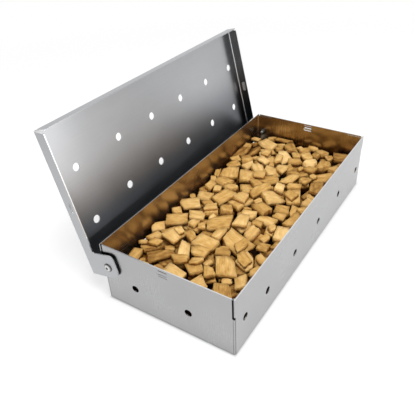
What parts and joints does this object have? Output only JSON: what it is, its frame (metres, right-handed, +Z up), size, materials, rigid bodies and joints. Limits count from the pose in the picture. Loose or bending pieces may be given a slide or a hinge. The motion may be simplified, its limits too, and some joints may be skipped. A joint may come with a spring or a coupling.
{
  "type": "smoker box",
  "caption": "Folded steel smoker box with a riveted swinging lid, round vent holes in the lid and walls and a snap catch at each end, standing open and filled with wood chips.",
  "frame": {"origin": "middle of the tray's underside, the face it rests on", "axes": "+X along the box towards its far end, +Y towards the hinge wall, +Z up out of the tray"},
  "size_m": [0.235, 0.1383, 0.1273],
  "materials": {
    "tray_steel": "fine brushed stainless sheet",
    "lid_steel": "fine brushed stainless sheet",
    "rivet_steel": "satin, pressed",
    "mandrel_steel": "dull, broken end",
    "washer_steel": "satin",
    "bed_wood": "rough, in shadow",
    "chip_wood": "rough split and sawn wood"
  },
  "bodies": {
    "tray": {"tray": "tray_steel", "hinge_rivets": "rivet_steel", "rivet_mandrels": "mandrel_steel", "spacer_washers": "washer_steel", "chip_bed": "bed_wood", "wood_chips": "chip_wood"},
    "lid": {"lid": "lid_steel"}
  },
  "joints": [
    {"name": "lid_hinge", "type": "hinge", "parent": "tray", "child": "lid", "pos_m": [0, 0.0455, 0.0325], "axis": [-1, 0, 0], "range_deg": [-103.9, 32.5]}
  ]
}
